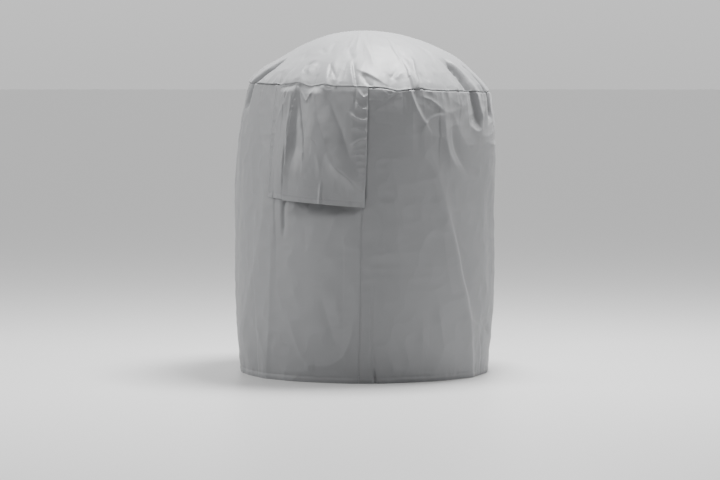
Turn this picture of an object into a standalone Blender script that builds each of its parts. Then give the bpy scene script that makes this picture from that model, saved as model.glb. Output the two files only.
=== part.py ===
"""A fitted cover for a round kettle grill: a gathered crown on a two-panel skirt, with a vent hood.

The skirt stands on its hem at z = 0, with the grill's axis on +Z and the vent hood towards -Y.
Lengths are in metres. Angles are in degrees about +Z, counted from -Y towards +X.
"""

import math

import bmesh
import bpy
from mathutils import Vector

# The cover as a whole.
COVER_HEIGHT = 0.900
SEAM_HEIGHT = 0.745  # the crown seam, above the hem's edge
SEAM_RADIUS = 0.320
WAIST_RADIUS = 0.3425
HEM_RADIUS = 0.327
WAIST_BOTTOM = 0.260  # the skirt is straight between these two heights
WAIST_TOP = 0.520
HEM_SWEEP = 2.0  # how the skirt draws in below the waist: 2 is a parabola
SHOULDER_SWEEP = 2.2  # and above it
CROWN_FULLNESS = 0.88  # 1 is a parabola, and less is fuller at the shoulder

# Cloth, tape and thread.
CLOTH = 0.0012
TAPE = 0.0010
MESH_CLOTH = 0.0008
THREAD_RADIUS = 0.0004
GAP = 0.0003  # between pieces that lie on each other
FRONT_SEAM = 1.5  # the angle of the skirt's front seam
BACK_SEAM = FRONT_SEAM + 180
SEAM_TAPE_WIDTH = 0.020
BINDING_HEIGHT = 0.012  # the tape round the crown seam
HEM_STITCH = 0.015  # height of the stitching above the hem's edge
HEM_FACING = 0.018  # height of the turned-up edge

# The vent hood, sewn over the front left of the skirt.
HOOD_WIDTH = 0.262  # along the crown seam
HOOD_DROP_LEFT = 0.284
HOOD_DROP_RIGHT = 0.298
HOOD_CLEARANCE = 0.0025  # between the skirt and the inside of the hood's panel
HOOD_TOP_GAP = 0.0015
HOOD_POUCH = 0.024  # how far the lower edge stands off at its fullest
HOOD_SKEW = 0.576  # below 1, the fullest place lies left of the hood's middle
HOOD_SWEEP = 1.3  # how the pouch opens from top to bottom
HOOD_STITCH = 0.012
HOOD_FACING = 0.014
HOOD_TOPSTITCH = (0.003, 0.009)  # the two rows of stitching, from the left edge
HOOD_SEAM_STITCH = 0.004  # the row of stitching, from the right edge
HOOD_STITCH_START = 0.003  # from the hood's top edge to the first stitch

# The vent behind the hood.
VENT_WIDTH = 0.180
VENT_HEIGHT = 0.120
VENT_DROP = 0.060  # from the crown seam to the top of the window
VENT_LAP = 0.010  # the mesh and its binding, beyond the window
VENT_STITCH = 0.005  # from the window's edge to the stitching

# The care label, inside beside the back seam.
LABEL_WIDTH = 0.030
LABEL_HEIGHT = 0.045
LABEL_RISE = 0.060  # above the hem's edge
LABEL_INSET = 0.004  # from the seam's tape
LABEL_CLOTH = 0.0008

# How finely the round shapes are cut.
SEGMENTS = 64
SKIRT_ROWS = 12
CROWN_ROWS = 10
HOOD_COLUMNS = 12
HOOD_ROWS = 14
SHARP_ANGLE = 35  # edges sharper than this are shown as edges
SNAP = 0.001  # a grid line nearer than this share of a step to an end is left out
MERGE = 1e-6

# Plain colours, linear.
CLOTH_COLOUR = (0.20, 0.203, 0.208)
TAPE_COLOUR = (0.22, 0.225, 0.23)
THREAD_COLOUR = (0.20, 0.205, 0.21)
MESH_COLOUR = (0.03, 0.03, 0.032)
LABEL_COLOUR = (0.80, 0.80, 0.78)
CLOTH_ROUGHNESS = 0.6
THREAD_ROUGHNESS = 0.5

# What follows from the sizes above.
SKIRT_TOP = SEAM_HEIGHT - GAP
CROWN_RISE = COVER_HEIGHT - SEAM_HEIGHT
RING_STEP = 360 / SEGMENTS
ROW_STEP = SKIRT_TOP / SKIRT_ROWS
LINING = -CLOTH - GAP  # where a layer inside the skirt begins, from the skirt's outer face
EDGE = math.degrees(GAP / 2 / SEAM_RADIUS)  # half the gap between two panels at a seam
HOOD_RIGHT = FRONT_SEAM
HOOD_LEFT = HOOD_RIGHT - math.degrees(HOOD_WIDTH / SEAM_RADIUS)
HOOD_MIDDLE = (HOOD_LEFT + HOOD_RIGHT) / 2
VENT_HALF = math.degrees(VENT_WIDTH / 2 / WAIST_RADIUS)
VENT_TOP = SEAM_HEIGHT - VENT_DROP
VENT_BOTTOM = VENT_TOP - VENT_HEIGHT


def at(angle, radius, height):
    """The point at an angle round the cover's axis."""
    turn = math.radians(angle)
    return Vector((radius * math.sin(turn), -radius * math.cos(turn), height))


def stations(start, end, zero, step):
    """start and end, with the grid lines of the whole skirt that lie between them."""
    first = math.floor((start - zero) / step + SNAP) + 1
    last = math.ceil((end - zero) / step - SNAP) - 1
    return [start, *(zero + step * k for k in range(first, last + 1)), end]


def angles(start, end):
    return stations(start, end, FRONT_SEAM, RING_STEP)


def heights(bottom, top):
    return stations(bottom, top, 0, ROW_STEP)


def ring_angles():
    return [FRONT_SEAM + RING_STEP * k for k in range(SEGMENTS)]


def facet(angle):
    """The radius of a ring of SEGMENTS flat sides at an angle, as a share of its corners' radius."""
    half = RING_STEP / 2
    off_centre = (angle - FRONT_SEAM) % RING_STEP - half
    return math.cos(math.radians(half)) / math.cos(math.radians(off_centre))


def curved_skirt_radius(height):
    if height < WAIST_BOTTOM:
        share = (WAIST_BOTTOM - height) / WAIST_BOTTOM
        return WAIST_RADIUS - (WAIST_RADIUS - HEM_RADIUS) * share**HEM_SWEEP
    if height > WAIST_TOP:
        share = (height - WAIST_TOP) / (SEAM_HEIGHT - WAIST_TOP)
        return WAIST_RADIUS - (WAIST_RADIUS - SEAM_RADIUS) * share**SHOULDER_SWEEP
    return WAIST_RADIUS


def skirt_radius(height):
    """The skirt's radius, straight between its grid lines so that every layer follows the same facets."""
    row = min(max(int(height / ROW_STEP), 0), SKIRT_ROWS - 1)
    low = curved_skirt_radius(row * ROW_STEP)
    high = curved_skirt_radius((row + 1) * ROW_STEP)
    return low + (high - low) * (height / ROW_STEP - row)


def on_skirt(offset):
    """The surface that lies offset outside the skirt's outer face."""
    return lambda angle, height: at(angle, skirt_radius(height) * facet(angle) + offset, height)


def on_crown(inset):
    """The dome that lies inset inside the crown's outer face, over angle and rise from 0 to 90."""

    def point(angle, rise):
        lift = math.sin(math.radians(rise)) ** (2 * CROWN_FULLNESS)
        spread = max(math.cos(math.radians(rise)), 0)
        radius = (SEAM_RADIUS - inset) * spread * facet(angle)
        return at(angle, radius if rise < 90 else 0, SEAM_HEIGHT + (CROWN_RISE - inset) * lift)

    return point


def on_hood(offset):
    """The surface offset outside the hood's outer face, over shares across and down the hood."""

    def point(across, down):
        angle = HOOD_LEFT + (HOOD_RIGHT - HOOD_LEFT) * across
        drop = HOOD_DROP_LEFT + (HOOD_DROP_RIGHT - HOOD_DROP_LEFT) * across
        height = SEAM_HEIGHT - HOOD_TOP_GAP - drop * down
        pouch = HOOD_POUCH * math.sin(math.pi * across**HOOD_SKEW) ** 2 * down**HOOD_SWEEP
        return at(angle, skirt_radius(height) + HOOD_CLEARANCE + CLOTH + pouch + offset, height)

    return point


def make_material(name, colour, roughness):
    material = bpy.data.materials.new(name)
    material.use_nodes = True
    shader = material.node_tree.nodes["Principled BSDF"]
    shader.inputs["Base Color"].default_value = (*colour, 1)
    shader.inputs["Roughness"].default_value = roughness
    shader.inputs["Metallic"].default_value = 0
    return material


def add_object(name, data, colour, roughness):
    data.materials.append(make_material(name, colour, roughness))
    piece = bpy.data.objects.new(name, data)
    bpy.context.collection.objects.link(piece)
    return piece


def sheet(name, across, up, outer, inner, colour, window=None, ring=False, pole=False):
    """One closed sheet between two surfaces over a grid.

    window is the lowest and highest place across and up of an opening, ring joins the last column to
    the first, and pole draws the last row together in one point.
    """
    body = bmesh.new()
    faces = [[[body.verts.new(side(a, u)) for a in across] for u in up] for side in (outer, inner)]
    columns = len(across) if ring else len(across) - 1

    def is_cloth(i, j):
        if not window:
            return True
        middle = ((across[i] + across[i + 1]) / 2, (up[j] + up[j + 1]) / 2)
        return not all(low < m < high for m, (low, high) in zip(middle, window))

    cells = {(i, j) for i in range(columns) for j in range(len(up) - 1) if is_cloth(i, j)}
    for i, j in sorted(cells):
        k = (i + 1) % len(across)
        corners = ((i, j), (k, j), (k, j + 1), (i, j + 1))
        for grid in faces:
            body.faces.new([grid[y][x] for x, y in corners])
        beside = ((i, j - 1), ((i + 1) % columns if ring else i + 1, j))
        beside += ((i, j + 1), ((i - 1) % columns if ring else i - 1, j))
        for side, neighbour in enumerate(beside):
            at_pole = pole and neighbour[1] == len(up) - 1
            if neighbour in cells or at_pole:
                continue
            (x0, y0), (x1, y1) = corners[side], corners[(side + 1) % 4]
            front, back = faces
            body.faces.new([front[y0][x0], front[y1][x1], back[y1][x1], back[y0][x0]])
    bmesh.ops.delete(body, geom=[v for v in body.verts if not v.link_faces], context="VERTS")
    if pole:
        bmesh.ops.remove_doubles(body, verts=body.verts, dist=MERGE)
    bmesh.ops.recalc_face_normals(body, faces=body.faces)
    data = bpy.data.meshes.new(name)
    body.to_mesh(data)
    body.free()
    data.shade_smooth()
    data.set_sharp_from_angle(angle=math.radians(SHARP_ANGLE))
    return add_object(name, data, colour, CLOTH_ROUGHNESS)


def thread(name, points, colour, closed=False):
    """A sewing thread that runs through the points as one body."""
    data = bpy.data.curves.new(name, "CURVE")
    data.dimensions = "3D"
    data.bevel_depth = THREAD_RADIUS
    data.bevel_resolution = 0
    data.use_fill_caps = not closed
    line = data.splines.new("POLY")
    line.points.add(len(points) - 1)
    for place, point in zip(line.points, points):
        place.co = (*point, 1)
    line.use_cyclic_u = closed
    return add_object(name, data, colour, THREAD_ROUGHNESS)


def make_skirt():
    """The two skirt panels, with the vent's window in the left one, and their turned-up edges."""
    window_angles = (HOOD_MIDDLE - VENT_HALF, HOOD_MIDDLE + VENT_HALF)
    sides = {
        "right": (FRONT_SEAM + EDGE, BACK_SEAM - EDGE),
        "left": (BACK_SEAM - 360 + EDGE, FRONT_SEAM - EDGE),
    }
    for side, (start, end) in sides.items():
        across, up, window = angles(start, end), heights(0, SKIRT_TOP), None
        if side == "left":
            across = sorted([*across, *window_angles])
            up = sorted([*up, VENT_BOTTOM, VENT_TOP])
            window = (window_angles, (VENT_BOTTOM, VENT_TOP))
        name = f"skirt_{side}_panel"
        sheet(name, across, up, on_skirt(0), on_skirt(-CLOTH), CLOTH_COLOUR, window=window)
        outer, inner = on_skirt(LINING), on_skirt(LINING - CLOTH)
        sheet(f"hem_facing_{side}", angles(start, end), heights(0, HEM_FACING), outer, inner, CLOTH_COLOUR)
    ring = on_skirt(GAP + THREAD_RADIUS)
    hem = [ring(angle, HEM_STITCH) for angle in ring_angles()]
    thread("bottom_hem_thread", hem, THREAD_COLOUR, closed=True)


def make_crown():
    """The crown panel, and the binding and stitching of its seam inside the skirt's top."""
    rises = [90 * k / CROWN_ROWS for k in range(CROWN_ROWS + 1)]
    outer, inner = on_crown(0), on_crown(CLOTH)
    sheet("crown_panel", ring_angles(), rises, outer, inner, CLOTH_COLOUR, ring=True, pole=True)
    top = SKIRT_TOP - GAP
    bottom = top - BINDING_HEIGHT
    outer, inner = on_skirt(LINING), on_skirt(LINING - TAPE)
    sheet("crown_seam_binding", ring_angles(), [bottom, top], outer, inner, TAPE_COLOUR, ring=True)
    ring = on_skirt(LINING - TAPE - GAP - THREAD_RADIUS)
    middle = (bottom + top) / 2
    thread("crown_seam_thread", [ring(a, middle) for a in ring_angles()], THREAD_COLOUR, closed=True)


def make_seam_tapes():
    """The tape and stitching up the inside of the front and back seams."""
    bottom = HEM_FACING + GAP
    top = SKIRT_TOP - GAP - BINDING_HEIGHT - GAP
    half = math.degrees(SEAM_TAPE_WIDTH / 2 / WAIST_RADIUS)
    line = on_skirt(LINING - TAPE - GAP - THREAD_RADIUS)
    for side, seam in (("front", FRONT_SEAM), ("back", BACK_SEAM)):
        across, up = angles(seam - half, seam + half), heights(bottom, top)
        outer, inner = on_skirt(LINING), on_skirt(LINING - TAPE)
        sheet(f"{side}_seam_tape", across, up, outer, inner, TAPE_COLOUR)
        thread(f"{side}_seam_thread", [line(seam, h) for h in up], THREAD_COLOUR)


def make_vent():
    """The mesh over the window in the left panel, its binding, and the binding's stitching."""
    lap_angle = math.degrees(VENT_LAP / WAIST_RADIUS)
    start, end = HOOD_MIDDLE - VENT_HALF, HOOD_MIDDLE + VENT_HALF
    across = angles(start - lap_angle, end + lap_angle)
    up = heights(VENT_BOTTOM - VENT_LAP, VENT_TOP + VENT_LAP)
    outer, inner = on_skirt(LINING), on_skirt(LINING - MESH_CLOTH)
    sheet("vent_mesh", across, up, outer, inner, MESH_COLOUR)
    face = LINING - MESH_CLOTH - GAP
    window = ((start, end), (VENT_BOTTOM, VENT_TOP))
    across = sorted([*across, start, end])
    up = sorted([*up, VENT_BOTTOM, VENT_TOP])
    outer, inner = on_skirt(face), on_skirt(face - TAPE)
    sheet("vent_mesh_binding", across, up, outer, inner, TAPE_COLOUR, window=window)
    out = math.degrees(VENT_STITCH / WAIST_RADIUS)
    across = angles(start - out, end + out)
    up = heights(VENT_BOTTOM - VENT_STITCH, VENT_TOP + VENT_STITCH)
    place = on_skirt(GAP + THREAD_RADIUS)
    loop = [place(a, up[0]) for a in across[:-1]]
    loop += [place(across[-1], h) for h in up[:-1]]
    loop += [place(a, up[-1]) for a in across[:0:-1]]
    loop += [place(across[0], h) for h in up[:0:-1]]
    thread("vent_binding_thread", loop, THREAD_COLOUR, closed=True)


def make_hood():
    """The vent hood, its turned-up edge and its stitching, hung on an empty on the hood's hinge line."""
    rows_left = [stitch / HOOD_WIDTH for stitch in HOOD_TOPSTITCH]
    row_right = 1 - HOOD_SEAM_STITCH / HOOD_WIDTH
    hem_row = 1 - HOOD_STITCH / HOOD_DROP_LEFT
    facing_row = 1 - HOOD_FACING / HOOD_DROP_LEFT
    first_row = HOOD_STITCH_START / HOOD_DROP_LEFT
    across = sorted([*(k / HOOD_COLUMNS for k in range(HOOD_COLUMNS + 1)), *rows_left, row_right])
    down = sorted([*(k / HOOD_ROWS for k in range(HOOD_ROWS + 1)), first_row, hem_row, facing_row])
    pieces = [sheet("vent_hood_panel", across, down, on_hood(0), on_hood(-CLOTH), CLOTH_COLOUR)]
    facing = [facing_row, hem_row, 1]
    outer, inner = on_hood(LINING), on_hood(LINING - CLOTH)
    pieces.append(sheet("vent_hood_hem", across, facing, outer, inner, CLOTH_COLOUR))

    place = on_hood(GAP + THREAD_RADIUS)
    stitched = [d for d in down if 0 < d <= hem_row]
    double = [place(rows_left[0], d) for d in stitched]
    double += [place(rows_left[1], d) for d in reversed(stitched)]
    pieces.append(thread("hood_left_thread", double, THREAD_COLOUR))
    clear = [d for d in down if 0 < d < hem_row]
    pieces.append(thread("hood_right_thread", [place(row_right, d) for d in clear], THREAD_COLOUR))
    between = [a for a in across if rows_left[1] < a]
    pieces.append(thread("hood_hem_thread", [place(a, hem_row) for a in between], THREAD_COLOUR))

    hinge = bpy.data.objects.new("vent_hood_hinge", None)
    hinge.empty_display_size = HOOD_WIDTH / 4
    radius = SEAM_RADIUS + HOOD_CLEARANCE + CLOTH / 2
    hinge.location = at(HOOD_MIDDLE, radius, SEAM_HEIGHT - HOOD_TOP_GAP)
    hinge.rotation_euler.z = math.radians(HOOD_MIDDLE + 180)
    bpy.context.collection.objects.link(hinge)
    bpy.context.view_layer.update()
    for piece in pieces:
        piece.parent = hinge
        piece.matrix_parent_inverse = hinge.matrix_world.inverted()


def make_label():
    """The blank care label, inside the right panel beside the back seam."""
    tape_edge = math.degrees((SEAM_TAPE_WIDTH / 2 + LABEL_INSET) / HEM_RADIUS)
    end = BACK_SEAM - tape_edge
    across = angles(end - math.degrees(LABEL_WIDTH / HEM_RADIUS), end)
    up = heights(LABEL_RISE, LABEL_RISE + LABEL_HEIGHT)
    outer, inner = on_skirt(LINING), on_skirt(LINING - LABEL_CLOTH)
    sheet("care_label", across, up, outer, inner, LABEL_COLOUR)


for old in list(bpy.data.objects):
    bpy.data.objects.remove(old)
make_skirt()
make_crown()
make_seam_tapes()
make_vent()
make_hood()
make_label()
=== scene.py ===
import math

import bpy
import numpy as np
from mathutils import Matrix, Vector


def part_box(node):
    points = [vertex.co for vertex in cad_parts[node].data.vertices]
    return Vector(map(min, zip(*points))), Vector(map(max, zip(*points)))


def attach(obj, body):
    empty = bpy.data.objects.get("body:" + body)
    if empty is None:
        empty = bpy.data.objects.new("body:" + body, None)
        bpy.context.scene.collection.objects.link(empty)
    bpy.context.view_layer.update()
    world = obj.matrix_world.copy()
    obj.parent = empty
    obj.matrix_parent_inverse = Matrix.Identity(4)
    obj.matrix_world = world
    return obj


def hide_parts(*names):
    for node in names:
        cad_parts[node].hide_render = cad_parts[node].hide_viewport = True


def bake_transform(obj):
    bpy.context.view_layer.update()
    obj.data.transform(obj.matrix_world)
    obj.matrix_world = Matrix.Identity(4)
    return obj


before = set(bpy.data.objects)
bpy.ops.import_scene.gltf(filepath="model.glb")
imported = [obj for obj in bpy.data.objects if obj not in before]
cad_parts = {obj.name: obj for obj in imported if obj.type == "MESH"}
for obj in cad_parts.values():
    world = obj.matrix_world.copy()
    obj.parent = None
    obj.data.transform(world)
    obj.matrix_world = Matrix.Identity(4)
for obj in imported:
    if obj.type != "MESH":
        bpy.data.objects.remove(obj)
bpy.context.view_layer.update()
bpy.ops.object.select_all(action="DESELECT")
print("frame loaded")

crownLow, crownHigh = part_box("crown_panel")
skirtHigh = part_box("skirt_right_panel")[1]
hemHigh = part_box("bottom_hem_thread")[1]

cover = {
    "height": crownHigh.z,
    "seam": crownLow.z + 0.005,  # mean height of the crown seam
    "seamTilt": 0.012,  # how much higher the seam hangs on the left
    "seamRipple": 0.0012,  # and its small unevenness
    "seamRadius": crownHigh.x,
    "waistRadius": skirtHigh.x,
    "hemRadius": hemHigh.x - 0.0011,
    "waistBottom": 0.26,
    "waistTop": 0.52,
    "domePower": 1.76,  # the lower, the fuller the crown's shoulder
    "backSeam": 181.5,  # degrees from -Y towards +X, as every angle here
    "panelGap": 0.04,  # between the skirt's panels at their seams, in degrees
    "thick": 0.0006,
    "allowance": [(0.0015, 0.0), (0.0035, 0.0009), (0.0055, 0.0026)],  # in and down past the crown seam
    # the upper part leans a little: height, shift towards +X
    "lean": [(0, 0), (0.45, 0), (0.6, 0.008), (0.78, 0.0145), (0.83, 0.0145), (0.87, 0.008), (0.9, 0.001)],
    # height, angle
    "frontSeamLine": [(0, -2.4), (0.1, -2.0), (0.24, -1.5), (0.39, -1.2), (0.453, -0.8), (0.478, 0.2),
                      (0.54, 0.2), (0.66, -0.1), (0.745, -0.4)],
    # where gathers draw the crown seam down: angle, drop, width in degrees
    "seamDips": [(-46, 0.003, 2.0), (-35, -0.004, 3.5), (-29, 0.003, 3.0), (-21, -0.004, 3.0),
                 (13, 0.006, 4.5), (24, -0.003, 2.5), (110, 0.005, 4), (-120, 0.005, 5), (170, 0.004, 4)],
}


def smooth(t):  # 0 to 1, level at both ends
    t = np.clip(t, 0, 1)
    return t * t * (3 - 2 * t)


def between(x, points):  # straight lines through (x, value) points
    return np.interp(x, [p[0] for p in points], [p[1] for p in points])


def wander(u, v, seed, around=64):  # smooth noise from -1 to 1, repeating every `around` units of u
    table = np.random.default_rng(seed).uniform(-1, 1, (64, around))
    iu, iv = np.floor(u).astype(int), np.floor(v).astype(int)
    fu, fv = smooth(u - iu), smooth(v - iv)
    low = table[iv % 64, iu % around] * (1 - fu) + table[iv % 64, (iu + 1) % around] * fu
    high = table[(iv + 1) % 64, iu % around] * (1 - fu) + table[(iv + 1) % 64, (iu + 1) % around] * fu
    return low * (1 - fv) + high * fv


def ridged(u, v, seed, around=64):  # the same with sharp crests, from -1 to 1
    return 1 - 3.2 * np.abs(wander(u, v, seed, around)) ** 0.8


def angleGap(a, b):  # a minus b, in degrees, the short way round
    return (a - b + 180) % 360 - 180


def rounded(points, passes=2):  # cuts the corners of a line
    for _ in range(passes):
        cut = [points[0]]
        for a, b in zip(points, points[1:]):
            cut += [0.75 * a + 0.25 * b, 0.25 * a + 0.75 * b]
        points = [*cut, points[-1]]
    return points


foldEdge = {
    "reach": 3.2,  # how far from its line a fold is felt, in widths
    "perDegree": 0.02,  # metres taken for a degree where the cloth near a fold is looked for
    "fade": 0.35,  # part of its length in which a fold comes in or dies out
}


def foldField(angle, up, scale, folds):
    # each fold: rise in mm, width in mm left and right of a line that runs down (below and above one that
    # runs to the right), sharpness, strength at both ends, and the line itself
    total = np.zeros_like(angle)
    for rise, left, right, sharp, ends, line in folds:
        start = line[0][0]
        route = rounded([np.array([angleGap(a, start), h]) for a, h in line])
        x = angleGap(angle, start)
        reach = foldEdge["reach"] * max(left, right) / 1000
        xs, hs = [p[0] for p in route], [p[1] for p in route]
        wide = reach / foldEdge["perDegree"]
        near = (x > min(xs) - wide) & (x < max(xs) + wide) & (up > min(hs) - reach) & (up < max(hs) + reach)
        if not near.any():
            continue
        px, py, k = x[near], up[near], scale[near]
        mean = float(k.mean())
        lengths = [math.hypot((b[0] - a[0]) * mean, b[1] - a[1]) for a, b in zip(route, route[1:])]
        whole, run = sum(lengths), 0
        best, side, along = np.full(px.shape, 9.0), np.zeros(px.shape), np.zeros(px.shape)
        for a, b, length in zip(route, route[1:], lengths):
            dx, dy = (b[0] - a[0]) * k, np.full(px.shape, b[1] - a[1])
            qx, qy = (px - a[0]) * k, py - a[1]
            t = np.clip((qx * dx + qy * dy) / np.maximum(dx * dx + dy * dy, 1e-12), 0, 1)
            gap = np.hypot(qx - t * dx, qy - t * dy)
            closer = gap < best
            best = np.where(closer, gap, best)
            side = np.where(closer, dx * qy - dy * qx, side)
            along = np.where(closer, (run + t * length) / max(whole, 1e-9), along)
            run += length
        width = np.where(side > 0, right, left) / 1000
        begin = ends[0] + (1 - ends[0]) * smooth(along / foldEdge["fade"])
        finish = ends[1] + (1 - ends[1]) * smooth((1 - along) / foldEdge["fade"])
        total[near] += rise / 1000 * (begin * finish) * np.exp(-((best / width) ** sharp))
    return total


def addNoise(depth, angle, run, terms, share=1):
    # each term: size, cells round the cover, height of a cell, lean, seed and kind of noise
    for size, cells, tall, lean, seed, kind in terms:
        depth = depth + size * share * kind(angle / 360 * cells + run * lean, run / tall, seed, cells)
    return depth


def bodyRadius(height):
    waist = cover["waistRadius"]
    below = np.clip(1 - height / cover["waistBottom"], 0, None)
    above = np.clip((height - cover["waistTop"]) / (cover["seam"] - cover["waistTop"]), 0, None)
    return waist - (waist - cover["hemRadius"]) * below ** 2 - (waist - cover["seamRadius"]) * above ** 2.2


def seamHeight(angle):
    height = cover["seam"] - cover["seamTilt"] * np.sin(np.radians(angle))
    for place, drop, wide in cover["seamDips"]:
        height = height - drop * np.exp(-((angleGap(angle, place) / wide) ** 2))
    return height + cover["seamRipple"] * wander(angle / 360 * 40, 0 * angle, 5, 40)


def crevice(angle, run, rule):  # how far the crown seam draws the cloth in beside it
    deep, uneven, seed, wide = rule
    return (deep + uneven * wander(angle / 360 * 60, run * 0, seed, 60)) * np.exp(-((run / wide) ** 2))


def leanAt(height):
    return between(height, cover["lean"])


def toPoint(angle, radius, height):
    turn = np.radians(angle)
    return np.stack([radius * np.sin(turn) + leanAt(height), -radius * np.cos(turn), height], -1)


def crownRow(up):  # radius and height at a distance up the crown's cloth from its seam
    rise = np.linspace(0, 90, 400)
    radius = cover["seamRadius"] * np.cos(np.radians(rise))
    lift = (cover["height"] - cover["seam"]) * np.sin(np.radians(rise)) ** cover["domePower"]
    run = np.concatenate([[0], np.cumsum(np.hypot(np.diff(radius), np.diff(lift)))])
    return np.interp(up, run, radius), np.interp(up, run, lift), run[-1]


crownReach = crownRow(0.0)[2]
degreeLength = math.radians(1) * cover["waistRadius"]  # a degree round the skirt, in metres
foldTurns = np.radians([25, 65, 115, 155])  # stations round the fold of a hem


def rowsOf(*spans):  # stations from (start, end, step) spans
    rows = []
    for start, end, step in spans:
        count = max(1, round(abs(end - start) / step))
        rows += list(np.linspace(start, end, count, endpoint=False))
    return [*rows, spans[-1][1]]


def clothMesh(name, points, flat, thick, ring=False, pole=None, window=None, inside=True):
    # points and flat are rows x columns arrays: the places, and the weave's own coordinates in metres
    rows, columns = points.shape[:2]
    verts = points.reshape(-1, 3)
    uvs = flat.reshape(-1, 2)
    index = np.arange(rows * columns).reshape(rows, columns)
    across = columns if ring else columns - 1
    i, j = np.meshgrid(np.arange(across), np.arange(rows - 1))
    ahead = (i + 1) % columns
    quads = np.stack([index[j, i], index[j, ahead], index[j + 1, ahead], index[j + 1, i]], -1)
    keep = np.ones(quads.shape[:2], bool) if window is None else ~window
    faces = quads[keep].tolist()
    corners = list(np.array(faces).reshape(-1))
    if pole is not None:
        verts = np.vstack([verts, pole])
        uvs = np.vstack([uvs, uvs[-columns:].mean(0)])
        tip = len(verts) - 1
        last = index[-1]
        fan = [[int(last[k]), int(last[(k + 1) % columns]), tip] for k in range(across)]
        faces += fan
        corners += [c for f in fan for c in f]
    mesh = bpy.data.meshes.new(name)
    mesh.from_pydata(verts.tolist(), [], faces)
    layer = mesh.uv_layers.new(name="cloth")
    values = uvs[np.array(corners)]
    layer.data.foreach_set("uv", values.astype(np.float32).reshape(-1))
    piece = bpy.data.objects.new(name, mesh)
    bpy.context.scene.collection.objects.link(piece)
    bpy.ops.object.select_all(action="DESELECT")
    bpy.context.view_layer.objects.active = piece
    piece.select_set(True)
    if window is not None:
        bpy.ops.object.mode_set(mode="EDIT")
        bpy.ops.mesh.delete_loose()
        bpy.ops.object.mode_set(mode="OBJECT")
    if thick:
        wall = piece.modifiers.new("wall", "SOLIDIFY")
        wall.thickness = thick
        wall.offset = -1
        wall.material_offset = 1 if inside else 0
        bpy.ops.object.modifier_apply(modifier="wall")
    bpy.ops.object.shade_smooth_by_angle(angle=math.radians(55))
    piece.select_set(False)
    return piece


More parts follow.
